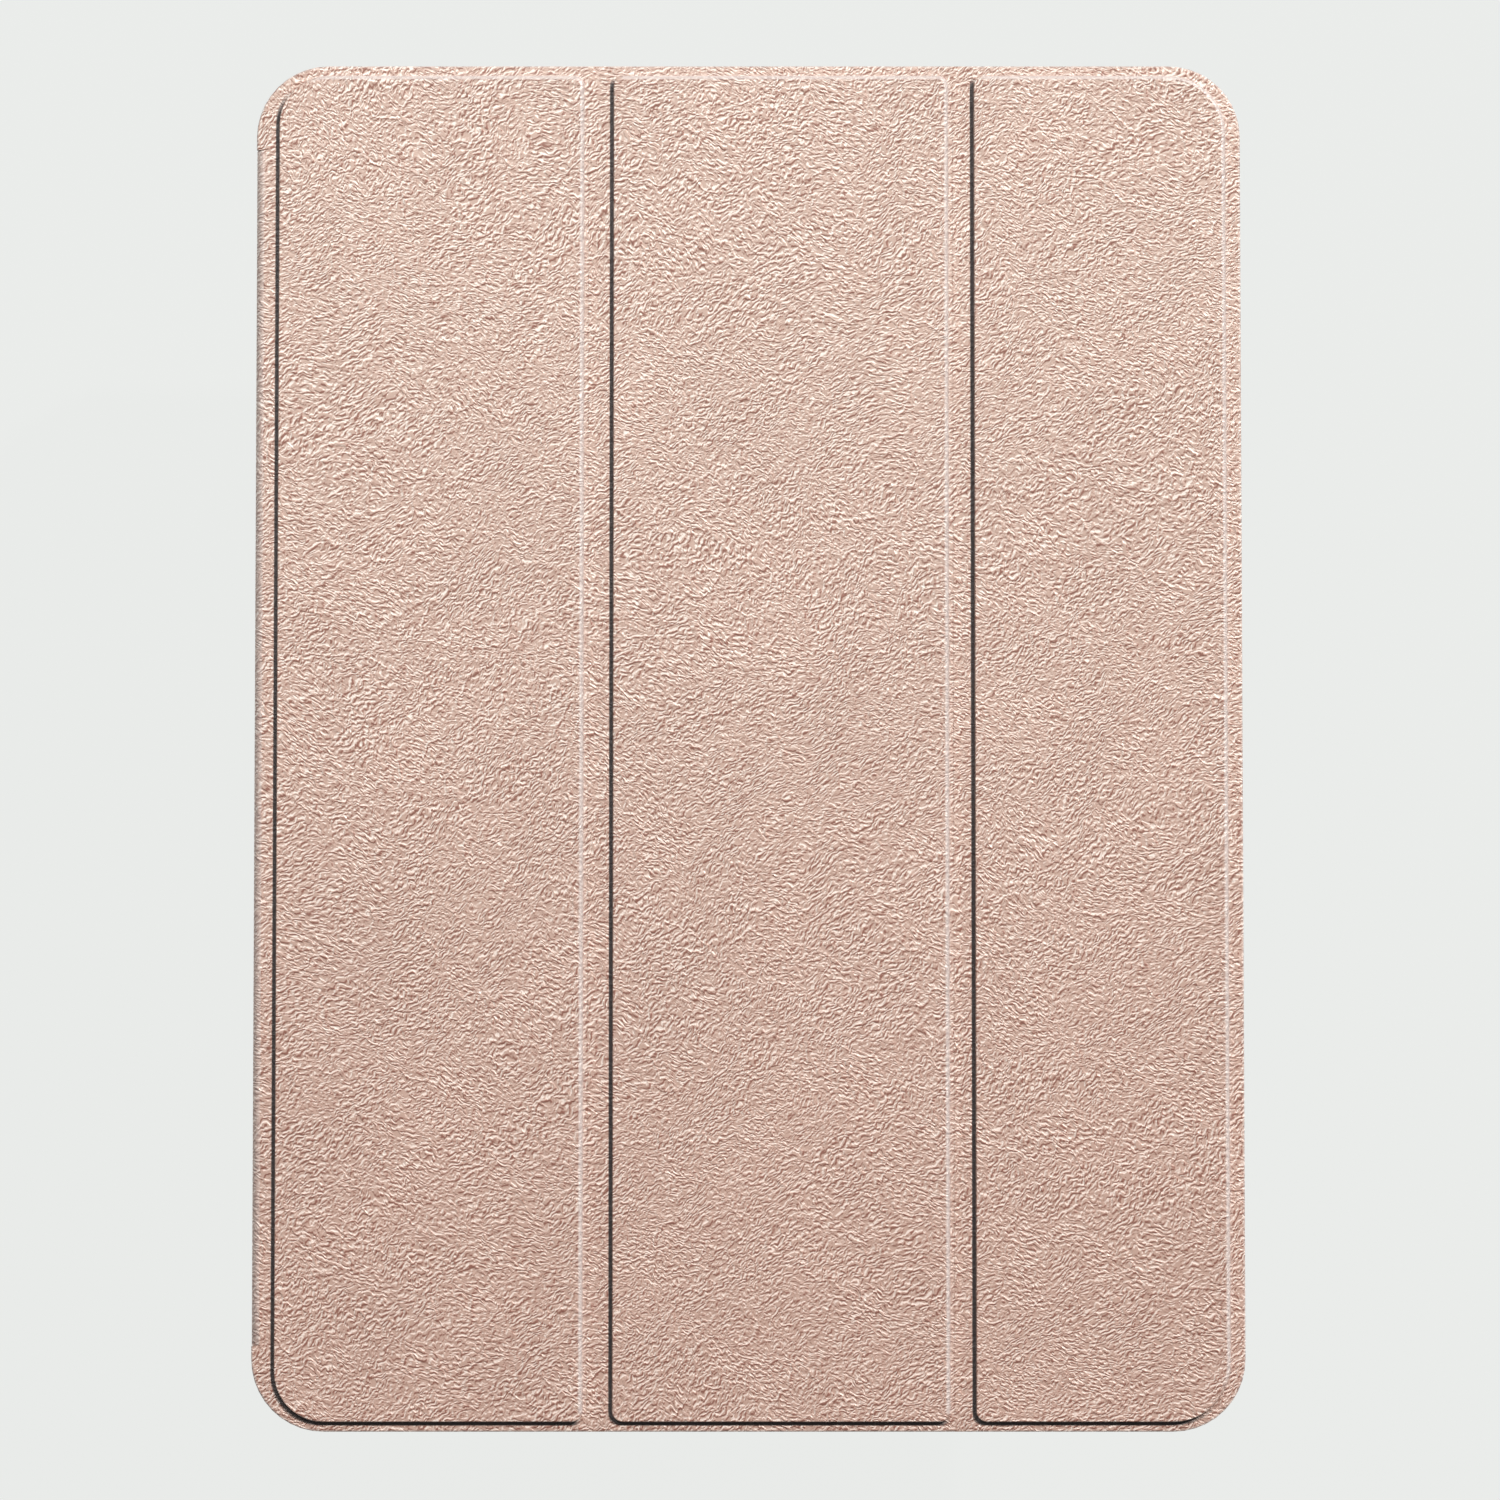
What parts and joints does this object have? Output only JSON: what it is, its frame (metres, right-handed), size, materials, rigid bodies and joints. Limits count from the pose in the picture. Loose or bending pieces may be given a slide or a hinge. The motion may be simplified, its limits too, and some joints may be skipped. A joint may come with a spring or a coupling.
{
  "type": "tablet computer in a folding folio case",
  "caption": "Tablet computer in a closed tri-fold folio: leather-faced cover panels, hinged spine, snap-in tray and working side buttons.",
  "frame": {"origin": "centre of the footprint, on the surface that the folio lies on", "axes": "+X towards the free edge of the cover, away from the spine; +Y towards the top of the tablet, the end with the power button; +Z out of the screen, up through the cover"},
  "size_m": [0.1826, 0.2524, 0.0114],
  "materials": {
    "cover_leather": "embossed synthetic leather with a pearl sheen, rose gold",
    "lining": "brushed microfibre, soft taupe pink",
    "tray": "moulded polycarbonate, satin rose gold",
    "stiffener": "glass-fibre board, bare",
    "aluminium": "bead-blasted and anodised, grey",
    "screen_glass": "strengthened cover glass over a black border",
    "lens_glass": "coated lens cover",
    "display": "laminated display module",
    "cell": "pouch cell in black film",
    "board": "printed circuit board",
    "steel": "stamped or machined steel",
    "magnet": "nickel-plated magnet",
    "black_plastic": "moulded, black",
    "film": "polyimide flexible circuit",
    "foam": "closed-cell adhesive foam",
    "flash": "clear lens over yellow phosphor"
  },
  "bodies": {
    "case": {"back_leather": "cover_leather", "back_shell": "tray", "battery_cell_left": "cell", "battery_cell_right": "cell", "battery_link_board": "film", "board_screw_1": "steel", "board_screw_2": "steel", "board_screw_3": "steel", "board_screw_4": "steel", "cover_glass": "screen_glass", "display_adhesive": "foam", "display_flex": "film", "display_panel": "display", "dock_flex": "film", "flash_lens": "flash", "front_camera": "black_plastic", "latch_magnet_bottom": "magnet", "latch_magnet_top": "magnet", "lid_sensor": "black_plastic", "logic_board": "board", "lower_crease": "cover_leather", "power_switch": "film", "processor_shield": "steel", "radio_shield": "steel", "rear_camera_lens": "lens_glass", "rear_camera_module": "black_plastic", "rear_camera_ring": "aluminium", "rear_housing": "aluminium", "speaker_bottom_left": "black_plastic", "speaker_bottom_right": "black_plastic", "speaker_top_left": "black_plastic", "speaker_top_right": "black_plastic", "top_microphone": "steel", "usb_c_socket": "steel", "usb_c_tongue": "black_plastic", "volume_switch": "film"},
    "spine": {"spine_leather": "cover_leather", "spine_lining": "lining", "upper_crease": "cover_leather"},
    "panel_1": {"panel_1_leather": "cover_leather", "panel_1_lining": "lining", "panel_1_stiffener": "stiffener", "stand_magnet": "magnet", "fold_strip_1": "cover_leather"},
    "panel_2": {"panel_2_leather": "cover_leather", "panel_2_lining": "lining", "panel_2_stiffener": "stiffener", "fold_strip_2": "cover_leather"},
    "panel_3": {"panel_3_leather": "cover_leather", "panel_3_lining": "lining", "panel_3_stiffener": "stiffener", "cover_magnet_top": "magnet", "cover_magnet_bottom": "magnet"},
    "power_button": {"power_button": "aluminium"},
    "volume_up_button": {"volume_up_button": "aluminium"},
    "volume_down_button": {"volume_down_button": "aluminium"}
  },
  "joints": [
    {"name": "spine_hinge", "type": "hinge", "parent": "case", "child": "spine", "pos_m": [-0.0909, 0, 0.00035], "axis": [0, -1, 0], "range_deg": [0, 180], "deforming": ["lower_crease"]},
    {"name": "cover_hinge", "type": "hinge", "parent": "spine", "child": "panel_1", "pos_m": [-0.0909, 0, 0.0099], "axis": [0, -1, 0], "range_deg": [0, 117], "deforming": ["upper_crease"]},
    {"name": "fold_1", "type": "hinge", "parent": "panel_1", "child": "panel_2", "pos_m": [-0.02785, 0, 0.0103], "axis": [0, -1, 0], "range_deg": [0, 130], "deforming": ["fold_strip_1"]},
    {"name": "fold_2", "type": "hinge", "parent": "panel_2", "child": "panel_3", "pos_m": [0.0393, 0, 0.0103], "axis": [0, -1, 0], "range_deg": [0, 112.5], "deforming": ["fold_strip_2"]},
    {"name": "power_button_press", "type": "slide", "parent": "case", "child": "power_button", "axis": [0, -1, 0], "range_m": [0, 0.0003], "stiffness_N_per_m": 600, "springref_m": -0.0005},
    {"name": "volume_up_button_press", "type": "slide", "parent": "case", "child": "volume_up_button", "axis": [-1, 0, 0], "range_m": [0, 0.0003], "stiffness_N_per_m": 600, "springref_m": -0.0005},
    {"name": "volume_down_button_press", "type": "slide", "parent": "case", "child": "volume_down_button", "axis": [-1, 0, 0], "range_m": [0, 0.0003], "stiffness_N_per_m": 600, "springref_m": -0.0005}
  ]
}
